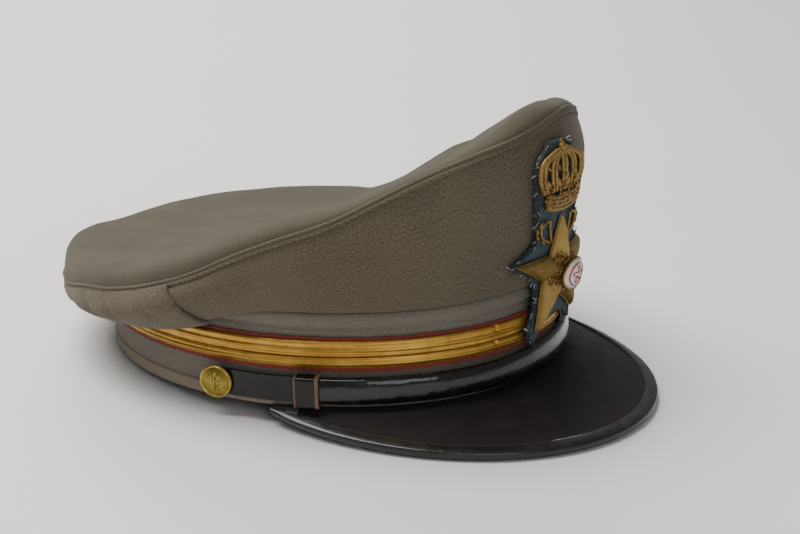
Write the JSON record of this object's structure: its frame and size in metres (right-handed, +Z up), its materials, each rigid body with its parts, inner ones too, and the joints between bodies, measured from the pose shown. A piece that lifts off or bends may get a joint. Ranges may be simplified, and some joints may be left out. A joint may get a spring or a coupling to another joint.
{
  "type": "peaked officer cap",
  "caption": "Peaked officer's cap of olive-grey wool: tall stiff front, soft saddle crown, band with gold lace, patent chin strap with side buttons, bound leather peak and stitched badge.",
  "frame": {"origin": "on the floor under the middle of the cap's box", "axes": "+Z up from the surface the cap rests on, -Y towards the peak and the badge, +X towards the wearer's left"},
  "size_m": [0.2008, 0.2694, 0.1254],
  "materials": {
    "wool": "olive-grey wool twill with a short nap",
    "band_cloth": "grey wool cloth",
    "red_cloth": "red backing cloth under the lace",
    "gold_lace": "woven gold metal lace, worn bright on its ribs",
    "patent_leather": "glossy patent leather",
    "peak_leather": "worn black leather",
    "gilt": "worn gilt brass",
    "bullion": "aged gold bullion embroidery",
    "felt": "blue-grey felt",
    "enamel": "white enamel with red lines"
  },
  "bodies": {
    "root": {"band": "band_cloth", "band_hem": "wool", "lace_backing": "red_cloth", "lace_lower": "gold_lace", "lace_upper": "gold_lace", "quarter_front": "wool", "quarter_back": "wool", "crown_welt": "wool", "crown_top": "wool", "peak": "peak_leather", "peak_binding": "peak_leather", "chin_strap": "patent_leather", "front_strap": "patent_leather", "keeper_right": "patent_leather", "keeper_left": "patent_leather", "button_right": "gilt", "button_left": "gilt", "badge_spray_right": "bullion", "badge_spray_left": "bullion", "badge_felt": "felt", "badge_crown": "bullion", "badge_star": "bullion", "badge_boss": "enamel"}
  },
  "joints": []
}
